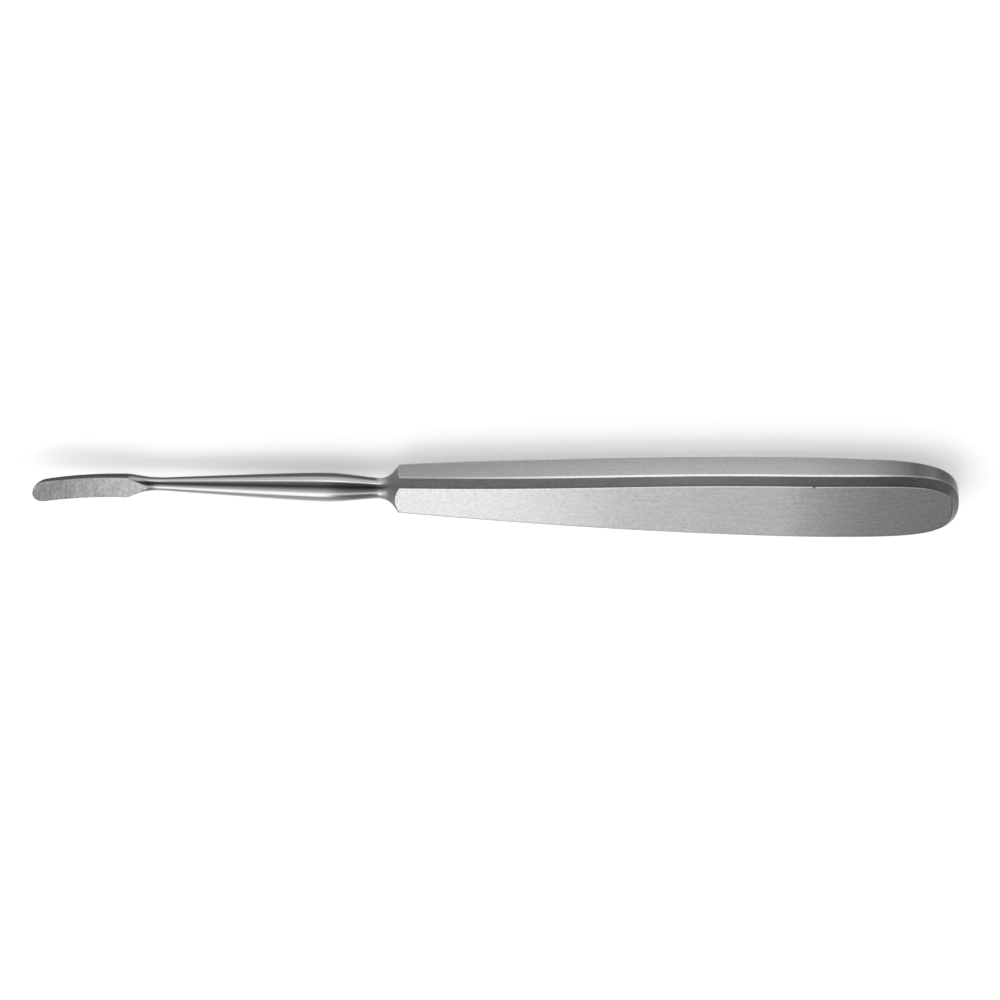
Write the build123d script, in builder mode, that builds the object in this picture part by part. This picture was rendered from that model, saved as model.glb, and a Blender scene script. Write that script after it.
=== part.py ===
from build123d import *
import os

# Millimetres throughout. A station is measured along the axis from the blade's tip,
# and a height or half width from the axis of the round shank.

# Blade: a thin leaf with a full-radius tip, bent up towards its ground face
blade_length = 16.1
blade_width = 4.2
blade_root_thickness = 1.36
blade_tip_thickness = 0.82
blade_face_height = 1.29
blade_tip_height = 3.42
face_bend_length = 15.0
tip_bevel_length = 2.4
tip_edge_thickness = 0.22

# Shoulder: the fan where the round neck spreads into the blade, with a heel below
shoulder_length = 6.0
shoulder_overlap = 0.55
shoulder_lift = 0.58
shoulder_sections = 9
spread_power_share = 2.5
lift_power_share = 3.3
heel_length = 3.9
heel_depth = 1.4
heel_reach_share = 0.32

# Shank: turned, swelling from a straight neck to a baluster belly, then drawn in to a waist
neck_diameter = 2.33
neck_length = 0.4
belly_diameter = 5.05
belly_distance = 28.1
belly_near_reach = 5.0
neck_reach = 0.3
waist_diameter = 3.61
waist_distance = 9.3
belly_far_reach = 3.8
waist_reach = 1.8

# Flare: a hollow cone that cuts across the handle's end
flare_radius = 3.0
flare_angle = 51.0

# Handle: a flat bar that widens to a rounded end, crowned on both broad faces
handle_length = 100.1
handle_start_width = 7.33
handle_width = 13.2
flank_angle = 2.51
flank_reach = 40.2
cheek_reach = 30.6
nose_length = 19.7
nose_flank_share = 0.69
nose_end_share = 0.99
handle_start_thickness = 6.49
handle_thickness = 8.81
handle_end_thickness = 5.8
crown_length = 42.1
land_length = 28.0
chamfer_on_side = 1.52
chamfer_on_face = 1.18
edge_softening = 0.35
level_shares = (0.2, 0.9)
overrun = 2.0

# Stations that these lengths add up to
neck_station = blade_length + shoulder_length
taper_station = neck_station + neck_length
belly_station = taper_station + belly_distance
waist_station = belly_station + waist_distance
overall_length = waist_station + handle_length

# The side and plan planes meet in the axis, with the part's origin below its middle
axis_height = handle_thickness / 2
tip_point = (-overall_length / 2, 0, axis_height)
side_plane = Plane(origin=tip_point, x_dir=(1, 0, 0), z_dir=(0, -1, 0))
plan_plane = Plane(origin=tip_point, x_dir=(1, 0, 0), z_dir=(0, 0, 1))
shank_axis = Axis(tip_point, (1, 0, 0))


def section_plane(station):
    """Plane across the axis at a station, with Y and Z as its own directions."""
    origin = (station - overall_length / 2, 0, axis_height)
    return Plane(origin=origin, x_dir=(0, 1, 0), z_dir=(1, 0, 0))


def is_slanted(face):
    """True for a face that is neither upright nor nearly level, as the handle's bevels are."""
    return level_shares[0] < abs(face.normal_at().Z) < level_shares[1]


# Blade and shoulder stock: the side profile, ground thin at the tip and cut to the plan outline
with BuildPart() as blade_stock:
    blade_back_height = blade_face_height - blade_root_thickness
    heel_reach = heel_length * heel_reach_share
    with BuildSketch(side_plane):
        with BuildLine():
            face = Line((neck_station, blade_face_height), (face_bend_length, blade_face_height))
            face_bend = TangentArc(face @ 1, (0, blade_tip_height), tangent=face % 1)
            heel = Bezier(
                (blade_length + heel_length, -heel_depth),
                (blade_length + heel_length - heel_reach, -heel_depth),
                (blade_length + heel_reach, blade_back_height),
                (blade_length, blade_back_height),
            )
            back_bend = TangentArc(
                heel @ 1, (0, blade_tip_height - blade_tip_thickness), tangent=heel % 1
            )
            Line(face_bend @ 1, back_bend @ 1)
            Polyline(face @ 0, (neck_station, -heel_depth), heel @ 0)
        make_face()
    extrude(amount=blade_width, both=True)
    tip_face = blade_stock.faces().sort_by(Axis.X)[0]
    chamfer(
        tip_face.edges().sort_by(Axis.Z)[0],
        length=blade_tip_thickness - tip_edge_thickness,
        length2=tip_bevel_length,
        reference=tip_face,
    )
    with BuildSketch(plan_plane):
        with BuildLine():
            far_side = Line((neck_station, blade_width / 2), (blade_width / 2, blade_width / 2))
            tip_round = ThreePointArc(far_side @ 1, (0, 0), (blade_width / 2, -blade_width / 2))
            near_side = Line(tip_round @ 1, (neck_station, -blade_width / 2))
            Line(near_side @ 1, far_side @ 0)
        make_face()
    extrude(amount=overall_length, both=True, mode=Mode.INTERSECT)

with BuildPart() as shoulder:
    shoulder_diameter = blade_width + shoulder_overlap
    for index in range(shoulder_sections):
        share = index / (shoulder_sections - 1)
        spread = (shoulder_diameter - neck_diameter) / 2 * share**spread_power_share
        with BuildSketch(section_plane(neck_station - shoulder_length * share)):
            with Locations((0, shoulder_lift * share**lift_power_share)):
                Circle(neck_diameter / 2 + spread)
    loft()
    add(blade_stock.part, mode=Mode.INTERSECT)

with BuildPart() as blade:
    add(blade_stock.part)
    split(bisect_by=section_plane(blade_length), keep=Keep.BOTTOM)

# The turned outline, from the neck to the flare, carried on past the handle as an envelope
with BuildPart() as turned:
    with BuildSketch(side_plane):
        with BuildLine():
            neck = Line((neck_station, neck_diameter / 2), (taper_station, neck_diameter / 2))
            taper = Bezier(
                neck @ 1,
                (taper_station + neck_reach, neck_diameter / 2),
                (belly_station - belly_near_reach, belly_diameter / 2),
                (belly_station, belly_diameter / 2),
            )
            waist = Bezier(
                taper @ 1,
                (belly_station + belly_far_reach, belly_diameter / 2),
                (waist_station - waist_reach, waist_diameter / 2),
                (waist_station, waist_diameter / 2),
            )
            hollow = JernArc(waist @ 1, (1, 0), flare_radius, flare_angle)
            cone = PolarLine(hollow @ 1, handle_width, flare_angle)
            Polyline(
                cone @ 1,
                (overall_length + overrun, (cone @ 1).Y),
                (overall_length + overrun, 0),
                (neck_station, 0),
                neck @ 0,
            )
        make_face()
    revolve(axis=shank_axis)

with BuildPart() as handle:
    widest_station = overall_length - nose_length
    land_start = waist_station + crown_length
    with BuildSketch(plan_plane.offset(-handle_thickness)):
        with BuildLine():
            flank_start = (waist_station, handle_start_width / 2)
            flank = PolarLine(flank_start, flank_reach, flank_angle, mode=Mode.PRIVATE)
            cheek = Bezier(
                flank_start,
                flank @ 1,
                (widest_station - cheek_reach, handle_width / 2),
                (widest_station, handle_width / 2),
            )
            Bezier(
                cheek @ 1,
                (widest_station + nose_length * nose_flank_share, handle_width / 2),
                (overall_length, handle_width / 2 * nose_end_share),
                (overall_length, 0),
            )
            mirror(about=Plane.XZ)
            Line(cheek @ 0, (waist_station, -handle_start_width / 2))
        make_face()
    extrude(amount=handle_thickness * 2)
    with BuildSketch(side_plane):
        with BuildLine():
            land = Line(
                (land_start, handle_thickness / 2),
                (land_start + land_length, handle_thickness / 2),
            )
            crown = TangentArc(
                land @ 0, (waist_station, handle_start_thickness / 2), tangent=land % 0 * -1
            )
            fall = TangentArc(
                land @ 1, (overall_length, handle_end_thickness / 2), tangent=land % 1
            )
            mirror(about=Plane.XZ)
            Line(crown @ 1, (waist_station, -handle_start_thickness / 2))
            Line(fall @ 1, (overall_length, -handle_end_thickness / 2))
        make_face()
    extrude(amount=handle_width, both=True, mode=Mode.INTERSECT)
    rim_wall = handle.faces().filter_by(GeomType.EXTRUSION)[0]
    chamfer(
        rim_wall.edges().filter_by(Axis.Z, reverse=True),
        length=chamfer_on_side,
        length2=chamfer_on_face,
        reference=rim_wall,
    )
    bevels = handle.faces().filter_by(is_slanted)
    flats = handle.faces().filter_by(is_slanted, reverse=True).sort_by(Axis.X)[1:]
    arrises = [edge for edge in bevels.edges() if edge in flats.edges()]
    fillet(arrises, edge_softening)
    add(turned.part, mode=Mode.INTERSECT)

with BuildPart() as elevator:
    add(turned.part)
    split(bisect_by=section_plane(waist_station), keep=Keep.BOTTOM)
    add(handle.part)
    add(shoulder.part)
    add(blade.part)
elevator.part.label = "elevator"

os.makedirs("parts", exist_ok=True)
export_step(elevator.part, "parts/elevator.step")
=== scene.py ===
import math

import bmesh
import bpy
from mathutils import Matrix, Vector


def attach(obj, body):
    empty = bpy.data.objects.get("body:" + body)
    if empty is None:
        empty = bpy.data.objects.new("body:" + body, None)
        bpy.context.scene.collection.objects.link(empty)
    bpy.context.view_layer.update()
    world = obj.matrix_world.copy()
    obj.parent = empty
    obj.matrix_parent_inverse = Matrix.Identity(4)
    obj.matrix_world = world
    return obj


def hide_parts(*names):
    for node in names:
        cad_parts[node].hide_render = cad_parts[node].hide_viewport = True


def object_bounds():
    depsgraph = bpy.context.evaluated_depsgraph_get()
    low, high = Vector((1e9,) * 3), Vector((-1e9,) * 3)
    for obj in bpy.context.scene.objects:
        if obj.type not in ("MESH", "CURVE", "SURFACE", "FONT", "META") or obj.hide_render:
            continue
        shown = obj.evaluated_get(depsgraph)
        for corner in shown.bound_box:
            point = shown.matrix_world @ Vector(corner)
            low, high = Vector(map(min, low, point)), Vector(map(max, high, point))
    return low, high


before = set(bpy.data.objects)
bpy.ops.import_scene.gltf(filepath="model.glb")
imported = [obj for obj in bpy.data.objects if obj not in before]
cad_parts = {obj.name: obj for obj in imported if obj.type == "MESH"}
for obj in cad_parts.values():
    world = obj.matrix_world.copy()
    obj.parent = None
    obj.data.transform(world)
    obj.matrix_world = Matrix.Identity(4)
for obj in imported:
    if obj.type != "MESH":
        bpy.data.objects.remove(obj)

cadLow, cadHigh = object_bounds()
mm = 0.001
tipX = cadLow.x  # stations are measured from the blade's tip, heights from the shank's axis
axisZ = (cadLow.z + cadHigh.z) / 2
print("frame loaded, object", [round(size / mm, 2) for size in cadHigh - cadLow], "mm")

# Every ring of the mesh has the same slots, four quarters that mirror each other
ringLayout = {
    "sideSteps": 10,
    "softStepsLow": 4,
    "bevelSteps": 8,
    "softStepsHigh": 4,
    "faceSteps": 22,
    "bladeEdgeSteps": 12,
}
quarterSteps = sum(ringLayout[name] for name in (
    "sideSteps", "softStepsLow", "bevelSteps", "softStepsHigh", "faceSteps"))
ringSlots = (
    [(step, 1, 1) for step in range(quarterSteps)]
    + [(quarterSteps - step, -1, 1) for step in range(quarterSteps)]
    + [(step, -1, -1) for step in range(quarterSteps)]
    + [(quarterSteps - step, 1, -1) for step in range(quarterSteps)]
)


def mix(low, high, share):
    return low + (high - low) * share


def easeBetween(start, end, value):
    share = min(max((value - start) / (end - start), 0), 1)
    return share * share * (3 - 2 * share)


def bezierPoint(points, share):
    a, b, c, d = (Vector(point) for point in points)
    rest = 1 - share
    return a * rest**3 + b * 3 * rest**2 * share + c * 3 * rest * share**2 + d * share**3


def bezierSlope(points, share):
    a, b, c, d = (Vector(point) for point in points)
    rest = 1 - share
    return (b - a) * rest**2 + (c - b) * 2 * rest * share + (d - c) * share**2


def bisect(test, low, high, halvings=40):
    for halving in range(halvings):  # test is true on the low side of the place looked for
        middle = (low + high) / 2
        low, high = (middle, high) if test(middle) else (low, middle)
    return low


def arcRise(run, reach, rise):
    # An arc leaves level and gains the rise at its reach
    radius = (reach**2 + rise**2) / (2 * rise)
    run = max(run, 0)
    return radius - math.sqrt(radius**2 - run**2)


def place(station, y, height):
    return Vector((tipX + station * mm, y * mm, axisZ + height * mm))


# Blade and shoulder
bladeSizes = {
    "length": 16.1,
    "width": 4.2,
    "rootThickness": 1.36,
    "tipThickness": 0.82,
    "faceHeight": 1.29,
    "tipHeight": 3.42,
    "faceBend": 15.0,
    "tipBevel": 2.4,
    "tipEdge": 0.22,
    "edgePower": 36,
    "groundReach": 0.03,
    "leastWidth": 0.00001,
    "tipRows": 18,
    "leafRows": 34,
    "shoulderRows": 110,
}
shoulderSizes = {
    "length": 6.0,
    "overlap": 0.55,
    "lift": 0.58,
    "spreadPower": 2.5,
    "liftPower": 3.3,
    "heelLength": 3.9,
    "heelDepth": 1.4,
    "heelReachShare": 0.32,
    "fineLead": 1.5,
}
shankSizes = {
    "neckDiameter": 2.33,
    "neckLength": 0.4,
    "bellyDiameter": 5.05,
    "bellyDistance": 28.1,
    "bellyNearReach": 5.0,
    "neckReach": 0.3,
    "waistDiameter": 3.61,
    "waistDistance": 9.3,
    "bellyFarReach": 3.8,
    "waistReach": 1.8,
    "flareRadius": 3.0,
    "flareAngle": 51.0,
    "neckRows": 4,
    "taperRows": 60,
    "waistRows": 26,
    "flareRows": 22,
}
neckStation = bladeSizes["length"] + shoulderSizes["length"]
taperStation = neckStation + shankSizes["neckLength"]
bellyStation = taperStation + shankSizes["bellyDistance"]
waistStation = bellyStation + shankSizes["waistDistance"]
neckRadius = shankSizes["neckDiameter"] / 2
bellyRadius = shankSizes["bellyDiameter"] / 2
waistRadius = shankSizes["waistDiameter"] / 2


def faceHeight(station):
    s = bladeSizes
    rise = s["tipHeight"] - s["faceHeight"]
    return s["faceHeight"] + arcRise(s["faceBend"] - station, s["faceBend"], rise)


def backHeight(station):
    s, h = bladeSizes, shoulderSizes
    root = s["faceHeight"] - s["rootThickness"]
    if station > s["length"] + h["heelLength"]:
        return -h["heelDepth"]
    if station > s["length"]:
        reach = h["heelLength"] * h["heelReachShare"]
        heelEnd = s["length"] + h["heelLength"]
        curve = (
            (s["length"], root),
            (s["length"] + reach, root),
            (heelEnd - reach, -h["heelDepth"]),
            (heelEnd, -h["heelDepth"]),
        )
        share = bisect(lambda t: bezierPoint(curve, t).x < station, 0, 1)
        return bezierPoint(curve, share).y
    rise = s["tipHeight"] - s["tipThickness"] - root
    back = root + arcRise(s["length"] - station, s["length"], rise)
    if station < s["tipBevel"]:
        bevelStart = root + arcRise(s["length"] - s["tipBevel"], s["length"], rise)
        back = mix(s["tipHeight"] - s["tipEdge"], bevelStart, station / s["tipBevel"])
    return back


def halfWidth(station):
    radius = bladeSizes["width"] / 2
    if station >= radius:
        return radius
    return max(math.sqrt(radius**2 - (radius - station) ** 2), bladeSizes["leastWidth"])


def bladeRing(station):
    # A flat section turns into the fan's and the neck's round one
    s, h = bladeSizes, shoulderSizes
    top, bottom, half = faceHeight(station), backHeight(station), halfWidth(station)
    halfThickness = (top - bottom) / 2
    share = min(max((neckStation - station) / h["length"], 0), 1)
    endRadius = (s["width"] + h["overlap"]) / 2
    radius = mix(neckRadius, endRadius, share ** h["spreadPower"])
    radius += max(s["length"] - station, 0)
    lift = h["lift"] * share ** h["liftPower"]
    settle = easeBetween(s["length"] - h["fineLead"], neckStation, station)
    centre = mix((top + bottom) / 2, lift, settle)
    edge = ringLayout["bladeEdgeSteps"]
    ring = []
    for step, sideY, sideZ in ringSlots:
        if step <= edge:
            flatAngle = math.atan2(halfThickness * step / edge, half)
        else:
            across = (quarterSteps - step) / (quarterSteps - edge)
            flatAngle = math.atan2(halfThickness, half * across)
        angle = mix(flatAngle, math.pi / 2 * step / quarterSteps, settle)
        cosine, sine = math.cos(angle), math.sin(angle)
        along = sideZ * sine * (lift - centre)
        reaches = [along + math.sqrt(along**2 + radius**2 - (lift - centre) ** 2)]
        if cosine > s["leastWidth"]:
            reaches.append(half / cosine)
        if sine > s["leastWidth"]:
            reaches.append((top - centre if sideZ > 0 else centre - bottom) / sine)
        inverse = sum(reach ** -s["edgePower"] for reach in reaches)
        reach = inverse ** (-1 / s["edgePower"])
        ring.append(place(station, sideY * cosine * reach, centre + sideZ * sine * reach))
    return ring


def bladeStations():
    s = bladeSizes
    tipRadius = s["width"] / 2
    fineStart = s["length"] - shoulderSizes["fineLead"]
    stations = [
        tipRadius * (1 - math.cos(math.pi / 2 * row / s["tipRows"]))
        for row in range(s["tipRows"])
    ]
    stations += [tipRadius, s["tipBevel"]]
    stations += [
        mix(s["tipBevel"], fineStart, row / s["leafRows"]) for row in range(1, s["leafRows"])
    ]
    stations += [
        mix(fineStart, neckStation, row / s["shoulderRows"]) for row in range(s["shoulderRows"])
    ]
    return stations


def roundRing(station, radius):
    ring = []
    for step, sideY, sideZ in ringSlots:
        angle = math.pi / 2 * step / quarterSteps
        y, z = sideY * radius * math.cos(angle), sideZ * radius * math.sin(angle)
        ring.append(place(station, y, z))
    return ring


def shankRings():
    s = shankSizes
    taper = (
        (taperStation, neckRadius),
        (taperStation + s["neckReach"], neckRadius),
        (bellyStation - s["bellyNearReach"], bellyRadius),
        (bellyStation, bellyRadius),
    )
    waist = (
        (bellyStation, bellyRadius),
        (bellyStation + s["bellyFarReach"], bellyRadius),
        (waistStation - s["waistReach"], waistRadius),
        (waistStation, waistRadius),
    )
    rings = []
    for row in range(s["neckRows"]):
        rings.append(roundRing(mix(neckStation, taperStation, row / s["neckRows"]), neckRadius))
    for curve, rows in ((taper, s["taperRows"]), (waist, s["waistRows"])):
        for row in range(rows):
            rings.append(roundRing(*bezierPoint(curve, row / rows)))
    return rings


def turnedRadius(station):
    s = shankSizes
    angle = math.radians(s["flareAngle"])
    hollowEnd = waistStation + s["flareRadius"] * math.sin(angle)
    if station <= hollowEnd:
        return waistRadius + arcRise(station - waistStation, s["flareRadius"], s["flareRadius"])
    endRadius = waistRadius + s["flareRadius"] * (1 - math.cos(angle))
    return endRadius + (station - hollowEnd) * math.tan(angle)


# Handle
handleSizes = {
    "length": 100.1,
    "startWidth": 7.33,
    "width": 13.2,
    "flankAngle": 2.51,
    "flankReach": 40.2,
    "cheekReach": 30.6,
    "noseLength": 19.7,
    "noseFlankShare": 0.69,
    "noseEndShare": 0.99,
    "startThickness": 6.49,
    "thickness": 8.81,
    "endThickness": 5.8,
    "crownLength": 42.1,
    "landLength": 28.0,
    "bevelOnSide": 1.52,
    "bevelOnFace": 1.18,
    "softening": 0.35,
    "flareEdgeSoftening": 0.09,
    "flareEdgeSegments": 3,
    "flareSearchShare": 0.2,
    "mergeDistance": 0.001,
    "straightShare": 0.065,
    "blendRows": 12,
    "flankRows": 70,
    "noseRows": 50,
}
overallLength = waistStation + handleSizes["length"]
widestStation = overallLength - handleSizes["noseLength"]


def railCurve(share):
    # The outline's cheek up to a share of one, and its nose up to two
    s = handleSizes
    half, flank = s["width"] / 2, math.radians(s["flankAngle"])
    if share <= 1:
        start = (waistStation, s["startWidth"] / 2)
        reach = (
            waistStation + s["flankReach"] * math.cos(flank),
            s["startWidth"] / 2 + s["flankReach"] * math.sin(flank),
        )
        cheek = (start, reach, (widestStation - s["cheekReach"], half), (widestStation, half))
        return cheek, share
    noseReach = widestStation + s["noseLength"] * s["noseFlankShare"]
    end = (overallLength, half * s["noseEndShare"])
    return ((widestStation, half), (noseReach, half), end, (overallLength, 0)), share - 1


def crownHeight(station):
    s = handleSizes
    crest = s["thickness"] / 2
    landStart = waistStation + s["crownLength"]
    landEnd = landStart + s["landLength"]
    if station < landStart:
        drop = crest - s["startThickness"] / 2
        return crest - arcRise(landStart - station, s["crownLength"], drop)
    drop = crest - s["endThickness"] / 2
    return crest - arcRise(station - landEnd, overallLength - landEnd, drop)


def rimProfile():
    # Inset and drop from the side face over to the broad face
    s, layout = handleSizes, ringLayout
    radius, turn = s["softening"], math.atan2(s["bevelOnFace"], s["bevelOnSide"])
    lowTangent = radius * math.tan(turn / 2)
    highTangent = radius * math.tan((math.pi / 2 - turn) / 2)
    low = (radius, s["bevelOnSide"] + lowTangent)
    high = (s["bevelOnFace"] + highTangent, radius)
    profile = []
    for step in range(layout["softStepsLow"] + 1):
        angle = turn * step / layout["softStepsLow"]
        profile.append((low[0] - radius * math.cos(angle), low[1] - radius * math.sin(angle)))
    start = profile[-1]
    end = (high[0] - radius * math.cos(turn), high[1] - radius * math.sin(turn))
    for step in range(1, layout["bevelSteps"]):
        share = step / layout["bevelSteps"]
        profile.append((mix(start[0], end[0], share), mix(start[1], end[1], share)))
    for step in range(layout["softStepsHigh"] + 1):
        angle = mix(turn, math.pi / 2, step / layout["softStepsHigh"])
        profile.append((high[0] - radius * math.cos(angle), high[1] - radius * math.sin(angle)))
    return profile


rim = rimProfile()


def barPoint(share, step):
    curve, part = railCurve(share)
    rail, slope = bezierPoint(curve, part), bezierSlope(curve, part).normalized()
    outward = Vector((-slope.y, slope.x))
    side = ringLayout["sideSteps"]
    if step <= side:
        return rail.x, rail.y, (crownHeight(rail.x) - rim[0][1]) * step / side
    if step < side + len(rim):
        inset, drop = rim[step - side]
        point = rail - outward * inset
        return point.x, point.y, crownHeight(point.x) - drop
    point = rail - outward * rim[-1][0]
    across = (quarterSteps - step) / ringLayout["faceSteps"]
    return point.x, point.y * across, crownHeight(point.x)


def insideFlare(share, step):
    station, y, height = barPoint(share, step)
    return math.hypot(y, height) > turnedRadius(station)


flareShares = [
    bisect(lambda share: insideFlare(share, step), 0, handleSizes["flareSearchShare"])
    for step in range(quarterSteps + 1)
]


def flareRing(share):
    ring = []
    for step, sideY, sideZ in ringSlots:
        station, y, height = barPoint(flareShares[step], step)
        turnedAngle = math.pi / 2 * step / quarterSteps
        angle = mix(turnedAngle, math.atan2(height, y), easeBetween(0, 1, share))
        station = mix(waistStation, station, share)
        radius = turnedRadius(station)
        y, z = sideY * radius * math.cos(angle), sideZ * radius * math.sin(angle)
        ring.append(place(station, y, z))
    return ring


def barRing(share, blend=1.0):
    ring = []
    for step, sideY, sideZ in ringSlots:
        own = mix(flareShares[step], share, blend)
        station, y, height = barPoint(own, step)
        ring.append(place(station, sideY * y, sideZ * height))
    return ring


def allRings():
    s = handleSizes
    zones = {}
    rings = [bladeRing(station) for station in bladeStations()]
    zones["bladeEnd"] = len(rings)
    rings += shankRings()
    zones["flareStart"] = len(rings)
    rows = shankSizes["flareRows"]
    rings += [flareRing(row / rows) for row in range(rows + 1)]
    zones["flareEdge"] = len(rings) - 1
    rows = s["blendRows"]
    rings += [barRing(s["straightShare"], row / rows) for row in range(1, rows)]
    rows = s["flankRows"]
    rings += [barRing(mix(s["straightShare"], 1, row / rows)) for row in range(rows)]
    rows = s["noseRows"]
    rings += [barRing(1 + row / rows) for row in range(rows + 1)]
    return rings, zones


def makeInstrument(materials):
    # A straight tube is spun, then every ring is drawn to its real section
    rings, zones = allRings()
    bm = bmesh.new()
    start = [bm.verts.new((row, 1, 0)) for row in range(len(rings))]
    line = [bm.edges.new(pair) for pair in zip(start, start[1:])]
    bmesh.ops.spin(
        bm, geom=start + line, axis=(1, 0, 0), cent=(0, 0, 0), dvec=(0, 0, 0),
        angle=2 * math.pi, steps=len(ringSlots), use_merge=True,
    )
    names = list(materials)
    faceRows = [
        (face, min(round(vert.co.x) for vert in face.verts),
         [ringSlots[slotOf(vert)][0] for vert in face.verts])
        for face in bm.faces
    ]
    flareEdge = [
        edge for edge in bm.edges
        if all(round(vert.co.x) == zones["flareEdge"] for vert in edge.verts)
    ]
    for vert in bm.verts:
        vert.co = rings[round(vert.co.x)][slotOf(vert)]
    for face, row, steps in faceRows:
        face.smooth = True
        face.material_index = names.index(finishOf(face, row, steps, zones))
    bmesh.ops.bevel(
        bm, geom=flareEdge, offset=handleSizes["flareEdgeSoftening"] * mm, offset_type="OFFSET",
        affect="EDGES", segments=handleSizes["flareEdgeSegments"], profile=0.5, material=-1,
    )
    bmesh.ops.remove_doubles(bm, verts=bm.verts, dist=handleSizes["mergeDistance"] * mm)
    bmesh.ops.recalc_face_normals(bm, faces=bm.faces)
    mesh = bpy.data.meshes.new("periosteal_elevator")
    bm.to_mesh(mesh)
    bm.free()
    for material in materials.values():
        mesh.materials.append(material)
    piece = bpy.data.objects.new("periosteal_elevator", mesh)
    bpy.context.scene.collection.objects.link(piece)
    flats = piece.modifiers.new("flatFaces", "WEIGHTED_NORMAL")
    flats.keep_sharp = True
    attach(piece, "root")
    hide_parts("elevator")
    print("instrument made,", len(mesh.polygons), "faces,", len(rings), "rings")
    return piece


def slotOf(vert):
    turn = math.atan2(vert.co.z, vert.co.y) / (2 * math.pi)
    return round(turn * len(ringSlots)) % len(ringSlots)


def finishOf(face, row, steps, zones):
    if row >= zones["flareEdge"]:
        layout = ringLayout
        bevelStart = layout["sideSteps"] + layout["softStepsLow"]
        bevelEnd = bevelStart + layout["bevelSteps"]
        ends = {
            "side": layout["sideSteps"] - 1,
            "arris": bevelStart,
            "bevel": bevelEnd,
            "rim": bevelEnd + layout["softStepsHigh"],
        }
        return next((kind for kind, end in ends.items() if max(steps) <= end), "handle")
    if row >= zones["flareStart"]:
        return "flare"
    if row >= zones["bladeEnd"]:
        return "shank"
    for level in (faceHeight, backHeight):
        gaps = [
            abs((vert.co.z - axisZ) / mm - level((vert.co.x - tipX) / mm))
            for vert in face.verts
        ]
        if max(gaps) < bladeSizes["groundReach"]:
            return "blade"
    return "shank"


# Finishes
grainSizes = {
    "detail": 3.0,
    "darkNoise": 0.3,  # the noise that gives the low end of a spread
    "paleNoise": 0.7,
    "directionLift": 0.0001,
}


def newMaterial(name):
    material = bpy.data.materials.new(name)
    material.use_nodes = True
    tree = material.node_tree
    shader = tree.nodes["Principled BSDF"]
    shader.inputs["Metallic"].default_value = 1.0
    return material, tree, shader


def grain(tree, scale):
    coordinates = tree.nodes.new("ShaderNodeTexCoord")
    mapping = tree.nodes.new("ShaderNodeMapping")
    mapping.inputs["Scale"].default_value = scale
    noise = tree.nodes.new("ShaderNodeTexNoise")
    noise.inputs["Scale"].default_value = 1.0
    noise.inputs["Detail"].default_value = grainSizes["detail"]
    tree.links.new(coordinates.outputs["Object"], mapping.inputs["Vector"])
    tree.links.new(mapping.outputs["Vector"], noise.inputs["Vector"])
    return noise.outputs["Fac"]


def spread(
    tree, value, low, high, fromLow=grainSizes["darkNoise"], fromHigh=grainSizes["paleNoise"]
):
    node = tree.nodes.new("ShaderNodeMapRange")
    node.inputs["From Min"].default_value = fromLow
    node.inputs["From Max"].default_value = fromHigh
    node.inputs["To Min"].default_value = low
    node.inputs["To Max"].default_value = high
    tree.links.new(value, node.inputs["Value"])
    return node.outputs["Result"]


def combined(tree, operation, first, second):
    node = tree.nodes.new("ShaderNodeMath")
    node.operation = operation
    for socket, value in zip(node.inputs, (first, second)):
        if isinstance(value, (int, float)):
            socket.default_value = value
        else:
            tree.links.new(value, socket)
    return node.outputs["Value"]


def greyInto(tree, value, socket):
    combine = tree.nodes.new("ShaderNodeCombineColor")
    for channel in ("Red", "Green", "Blue"):
        tree.links.new(value, combine.inputs[channel])
    tree.links.new(combine.outputs["Color"], socket)


def bumpFrom(tree, value, shader, distance):
    bump = tree.nodes.new("ShaderNodeBump")
    bump.inputs["Distance"].default_value = distance
    bump.inputs["Strength"].default_value = 1.0
    tree.links.new(value, bump.inputs["Height"])
    tree.links.new(bump.outputs["Normal"], shader.inputs["Normal"])


def marksAlongAxis(tree, shader, strength):
    # Marks along X spread the gloss across them; the small lift keeps the direction at the end
    geometry = tree.nodes.new("ShaderNodeNewGeometry")
    cross = tree.nodes.new("ShaderNodeVectorMath")
    cross.operation = "CROSS_PRODUCT"
    cross.inputs[1].default_value = (1, 0, 0)
    lift = tree.nodes.new("ShaderNodeVectorMath")
    lift.operation = "ADD"
    lift.inputs[1].default_value = (0, 0, grainSizes["directionLift"])
    tree.links.new(geometry.outputs["Normal"], cross.inputs[0])
    tree.links.new(cross.outputs["Vector"], lift.inputs[0])
    tree.links.new(lift.outputs["Vector"], shader.inputs["Tangent"])
    shader.inputs["Anisotropic"].default_value = strength


def marksAcrossAxis(tree, shader, strength):
    along = tree.nodes.new("ShaderNodeCombineXYZ")
    along.inputs["X"].default_value = 1.0
    tree.links.new(along.outputs["Vector"], shader.inputs["Tangent"])
    shader.inputs["Anisotropic"].default_value = strength


shadeSizes = {
    "mottleScale": 2000,
    "nickPlace": (0.0547, 0.0053, 0.0088),
    "nickSize": 0.00018,
    "nickRim": 0.0003,
    "nickTone": 0.3,
    # Painted shade on the sides of the blade and under the shank
    "bladeEdgeShadeTone": 0.75,
    "undersideShadeTone": 0.2,
    "undersideTurn": (0.02, 0.26),
    "undersideFade": 1.2,
    "flareTone": 2.2,
    "flareGloss": 0.36,
    "flareFade": 1.6,
}
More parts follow.
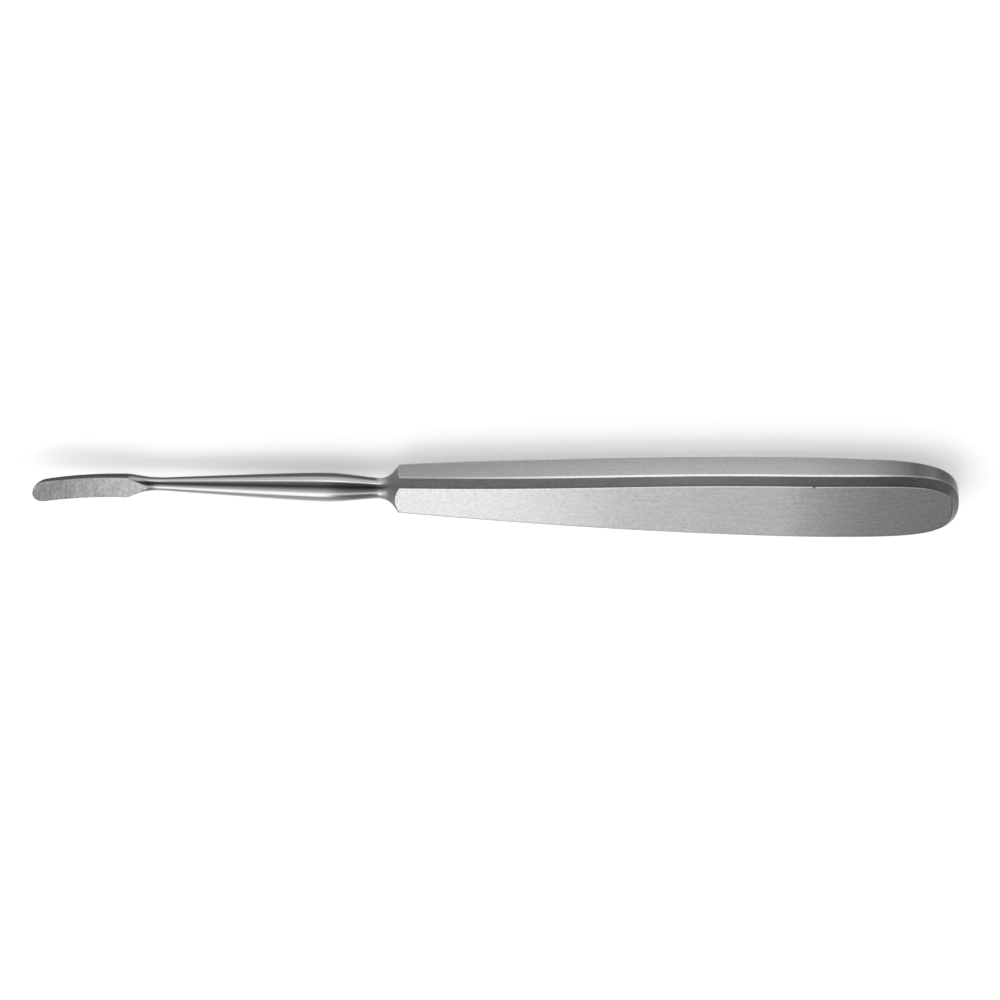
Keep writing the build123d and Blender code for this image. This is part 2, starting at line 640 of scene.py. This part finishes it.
# Painted light and shade on the handle's narrow faces and edges, station by station: a painted
# reflection, brighter along the middle and darkest at the nose
handlePaintedLightAndShade = {
    "side": (
        (60, 0.62), (70, 0.76), (80, 0.84), (90, 0.92), (104, 1.0), (125, 1.02), (134, 0.98),
        (139, 0.83), (144, 0.74), (149, 0.52), (152.5, 0.28), (155.3, 0.36), (157, 0.21),
        (160, 0.2),
    ),
    "arris": (
        (60, 0.5), (66, 0.52), (70, 0.55), (80, 0.74), (90, 1.0), (104, 1.08), (125, 1.1),
        (134, 1.0), (144, 0.94), (149.2, 0.47), (152.7, 0.3), (155.3, 0.4), (157, 0.21),
        (160, 0.2),
    ),
    "bevel": (
        (60, 0.86), (100, 0.92), (111, 1.1), (122, 0.98), (132, 0.8), (144, 0.7), (150, 0.6),
        (155, 0.62), (157.2, 0.52), (158.4, 0.32), (160, 0.24),
    ),
    "rim": (
        (60, 1.15), (100, 1.3), (125, 1.45), (139, 1.35), (149, 1.25), (153, 0.95),
        (155.5, 0.55), (157, 0.45), (160, 0.4),
    ),
}


def placeAlong(tree):
    coordinates = tree.nodes.new("ShaderNodeTexCoord")
    parts = tree.nodes.new("ShaderNodeSeparateXYZ")
    tree.links.new(coordinates.outputs["Object"], parts.inputs["Vector"])
    return parts.outputs["X"]


def handleShade(tree, tones):
    along = spread(tree, placeAlong(tree), 0, 1, tipX, tipX + overallLength * mm)
    stops = [(station / overallLength, tone) for station, tone in tones]
    return toneOf(tree, along, 0, 1, stops)


def nickShade(tree):
    # The one small dark pit on the edge of the broad face
    s = shadeSizes
    coordinates = tree.nodes.new("ShaderNodeTexCoord")
    distance = tree.nodes.new("ShaderNodeVectorMath")
    distance.operation = "DISTANCE"
    distance.inputs[1].default_value = s["nickPlace"]
    tree.links.new(coordinates.outputs["Object"], distance.inputs[0])
    value = distance.outputs["Value"]
    return spread(tree, value, s["nickTone"], 1, s["nickSize"], s["nickRim"])


def alongShade(tree, start, end, first, last):
    # A shade that changes between two stations
    return spread(tree, placeAlong(tree), first, last, tipX + start * mm, tipX + end * mm)


def shankShade(tree):
    # Painted shade: the shank is darker as it turns under, and the sides of the blade are
    # darker too
    s = shadeSizes
    geometry = tree.nodes.new("ShaderNodeNewGeometry")
    parts = tree.nodes.new("ShaderNodeSeparateXYZ")
    tree.links.new(geometry.outputs["Normal"], parts.inputs["Vector"])
    underside = spread(tree, parts.outputs["Z"], s["undersideShadeTone"], 1, *s["undersideTurn"])
    fade = alongShade(tree, waistStation - s["undersideFade"], waistStation, 0, 1)
    underside = combined(tree, "MAXIMUM", underside, fade)
    bladeEdge = alongShade(tree, bladeSizes["length"], neckStation, s["bladeEdgeShadeTone"], 1)
    return combined(tree, "MULTIPLY", underside, bladeEdge)


def flareShade(tree):
    # Near the waist the flare's painted shade is lifted to the shank's tone
    s = shadeSizes
    return alongShade(tree, waistStation, waistStation + s["flareFade"], s["flareTone"], 1)


def flareGloss(tree):
    s = shadeSizes
    return alongShade(tree, waistStation, waistStation + s["flareFade"], s["flareGloss"], 1)


brushedHandle = {
    "name": "brushed_steel_handle",
    "tones": (0.425, 0.485),
    "roughness": (0.24, 0.26),
    "streaks": (140, 5200, 5200),
    "mottle": 0.09,
    "bump": 0.0000003,
    "marks": marksAlongAxis,
    "anisotropy": 0.6,
    "shade": nickShade,
}
finishes = {
    "handle": brushedHandle,
    # Copies of the brushed steel that differ only by painted light and shade along the bar
    "side": brushedHandle | {"name": "brushed_steel_side_painted_shade", "shade": None},
    "bevel": brushedHandle | {"name": "brushed_steel_bevel_painted_shade", "shade": None},
    "rim": brushedHandle | {"name": "brushed_steel_rim_painted_light_and_shade"},
    # The arris is painted brighter than the other steel, a painted highlight along the edge
    # between side and bevel
    "arris": {
        "name": "steel_arris_painted_highlight_and_shade",
        "tones": (0.76, 0.80),
        "roughness": (0.18, 0.22),
        "streaks": (140, 5200, 5200),
        "mottle": 0.0,
        "bump": 0.0,
        "marks": marksAlongAxis,
        "anisotropy": 0.6,
        "shade": None,
    },
    "flare": {
        "name": "turned_steel_flare_painted_shade",
        # The flare's steel is painted darker than the shank's: a painted shade
        "tones": (0.19, 0.22),
        "roughness": (0.42, 0.50),
        "streaks": (5000, 400, 400),
        "mottle": 0.1,
        "bump": 0.0,
        "marks": marksAlongAxis,
        "anisotropy": 0.3,
        "shade": flareShade,
        "glossShade": flareGloss,
    },
    "shank": {
        "name": "polished_steel_shank",
        "tones": (0.44, 0.46),
        "roughness": (0.15, 0.18),
        "streaks": (80, 4000, 4000),
        "mottle": 0.0,
        "bump": 0.0,
        "marks": marksAlongAxis,
        "anisotropy": 0.3,
        "shade": shankShade,
    },
    "blade": {
        "name": "ground_steel_blade",
        "tones": (0.35, 0.51),
        "roughness": (0.34, 0.42),
        "streaks": (4200, 260, 260),
        "mottle": 0.2,
        "bump": 0.0000012,
        "marks": marksAcrossAxis,
        "anisotropy": 0.7,
        "shade": None,
    },
}


def steel(kind):
    f = finishes[kind]
    material, tree, shader = newMaterial(f["name"])
    fine = grain(tree, f["streaks"])
    tone = spread(tree, fine, *f["tones"])
    if f["mottle"]:
        cloud = grain(tree, (shadeSizes["mottleScale"],) * 3)
        patch = spread(tree, cloud, 1 - f["mottle"], 1 + f["mottle"])
        tone = combined(tree, "MULTIPLY", tone, patch)
    # Painted light and shade along the bar, on the handle's narrow faces and edges
    if kind in handlePaintedLightAndShade:
        tone = combined(tree, "MULTIPLY", tone, handleShade(tree, handlePaintedLightAndShade[kind]))
    if f["shade"]:
        tone = combined(tree, "MULTIPLY", tone, f["shade"](tree))
    greyInto(tree, tone, shader.inputs["Base Color"])
    gloss = spread(tree, fine, *f["roughness"])
    if "glossShade" in f:
        gloss = combined(tree, "MULTIPLY", gloss, f["glossShade"](tree))
    tree.links.new(gloss, shader.inputs["Roughness"])
    if f["bump"]:
        bumpFrom(tree, fine, shader, f["bump"])
    f["marks"](tree, shader, f["anisotropy"])
    return material


# Stage, camera and light
stageSizes = {
    "floorSize": 3.0,
    "floorTone": 0.95,
    "floorGlow": 0.4,
}
cameraSizes = {
    "tilt": 37.0,  # degrees from straight above, towards +Y
    "roll": 1.12,
    "distance": 1.1242,
    "sensor": 36.0,
    "focalShare": 6.5,
    "aimRight": 0.000685,
    "aimUp": -0.001643,
    "clipStart": 0.01,
}


def makeFloor():
    bm = bmesh.new()
    bmesh.ops.create_grid(bm, x_segments=1, y_segments=1, size=stageSizes["floorSize"] / 2)
    mesh = bpy.data.meshes.new("floor")
    bm.to_mesh(mesh)
    bm.free()
    floor = bpy.data.objects.new("floor", mesh)
    bpy.context.scene.collection.objects.link(floor)
    material = bpy.data.materials.new("pale_floor")
    material.use_nodes = True
    shader = material.node_tree.nodes["Principled BSDF"]
    tone = stageSizes["floorTone"]
    shader.inputs["Base Color"].default_value = (tone, tone, tone, 1)
    shader.inputs["Roughness"].default_value = 1.0
    shader.inputs["Specular IOR Level"].default_value = 0.0
    shader.inputs["Emission Color"].default_value = (1, 1, 1, 1)
    shader.inputs["Emission Strength"].default_value = stageSizes["floorGlow"]
    mesh.materials.append(material)


def makeCamera():
    s = cameraSizes
    tilt, roll = math.radians(s["tilt"]), math.radians(s["roll"])
    towards = Vector((0, math.sin(tilt), math.cos(tilt)))
    right = Vector((1, 0, 0))
    up = Vector((0, math.cos(tilt), -math.sin(tilt)))
    right, up = (
        right * math.cos(roll) + up * math.sin(roll),
        up * math.cos(roll) - right * math.sin(roll),
    )
    aim = Vector((0, 0, axisZ)) + right * s["aimRight"] + up * s["aimUp"]
    data = bpy.data.cameras.new("camera")
    data.sensor_width = s["sensor"]
    data.lens = s["sensor"] * s["focalShare"]
    data.clip_start = s["clipStart"]
    camera = bpy.data.objects.new("camera", data)
    turn = Matrix((right, up, towards)).transposed().to_4x4()
    camera.matrix_world = Matrix.Translation(aim + towards * s["distance"]) @ turn
    bpy.context.scene.collection.objects.link(camera)
    bpy.context.scene.camera = camera


keyLight = {"lean": -18, "distance": 0.9, "size": (1.6, 0.16), "power": 0.8}
# The studio around the object: brightness by the lean from straight above towards +Y,
# times a share by the direction along X
studioLayers = {
    "room": {
        "lean": (
            (-95, 0.65), (-60, 0.70), (-48, 0.40), (-38, 0.62), (-28, 1.2), (-18, 1.1),
            (-9, 1.25), (0, 0.95), (8, 0.7), (16, 0.5), (25, 0.29), (33, 0.1), (41, 0.06),
            (49, 0.1), (58, 0.2), (68, 0.24), (80, 0.34), (95, 0.6),
        ),
        "along": (
            (-1, 1.4), (-0.5, 1.2), (-0.25, 0.9), (-0.1, 1.0), (0, 0.95), (0.06, 0.65),
            (0.1, 0.46), (0.15, 0.4), (0.2, 0.3), (0.25, 0.28), (0.32, 0.65), (0.6, 0.8),
            (1, 1.2),
        ),
    },
    "left": {
        "lean": ((-52, 0), (-44, 1.0), (-30, 1.1), (-22, 0)),
        "along": (
            (-1, 0), (-0.4, 0.8), (-0.12, 1.35), (-0.05, 1.65), (0, 1.0), (0.03, 0.25),
            (0.06, 0.05), (0.09, 0),
        ),
    },
    "low": {
        "lean": ((81, 0), (87, 3.4), (91, 3.4), (100, 0)),
        "along": (
            (-1, 0), (-0.3, 0.3), (-0.1, 0.6), (-0.04, 1), (0.14, 1), (0.22, 0.4), (1, 0.1),
        ),
    },
}


def makeKeyLight():
    s = keyLight
    angle = math.radians(s["lean"])
    data = bpy.data.lights.new("key", "AREA")
    data.shape = "RECTANGLE"
    data.size, data.size_y = s["size"]
    data.energy = s["power"]
    light = bpy.data.objects.new("key", data)
    light.location = (0, s["distance"] * math.sin(angle), s["distance"] * math.cos(angle))
    light.rotation_euler = (-angle, 0, 0)
    light.visible_camera = False
    bpy.context.scene.collection.objects.link(light)


def toneOf(tree, value, low, high, stops):
    brightest = max(tone for position, tone in stops)
    ramp = tree.nodes.new("ShaderNodeValToRGB")
    elements = ramp.color_ramp.elements
    elements.remove(elements[1])
    for index, (position, tone) in enumerate(stops):
        share = (position - low) / (high - low)
        stop = elements.new(share) if index else elements[0]
        stop.position = share
        stop.color = (tone / brightest,) * 3 + (1,)
    tree.links.new(spread(tree, value, 0, 1, low, high), ramp.inputs["Fac"])
    return combined(tree, "MULTIPLY", ramp.outputs["Color"], brightest)


def makeStudio():
    world = bpy.data.worlds.new("studio")
    world.use_nodes = True
    tree = world.node_tree
    coordinates = tree.nodes.new("ShaderNodeTexCoord")
    parts = tree.nodes.new("ShaderNodeSeparateXYZ")
    tree.links.new(coordinates.outputs["Generated"], parts.inputs["Vector"])
    across = combined(tree, "ARCTAN2", parts.outputs["Y"], parts.outputs["Z"])
    lean = combined(tree, "MULTIPLY", across, 180 / math.pi)
    total = 0
    for layer in studioLayers.values():
        leanTone = toneOf(tree, lean, -180, 180, layer["lean"])
        alongTone = toneOf(tree, parts.outputs["X"], -1, 1, layer["along"])
        total = combined(tree, "ADD", total, combined(tree, "MULTIPLY", leanTone, alongTone))
    background = tree.nodes["Background"]
    background.inputs["Color"].default_value = (1, 1, 1, 1)
    tree.links.new(total, background.inputs["Strength"])
    bpy.context.scene.world = world
    bpy.context.scene.view_settings.view_transform = "Standard"


makeCamera()
makeKeyLight()
makeStudio()
makeFloor()
print("camera, light and floor made")
makeInstrument({kind: steel(kind) for kind in finishes})
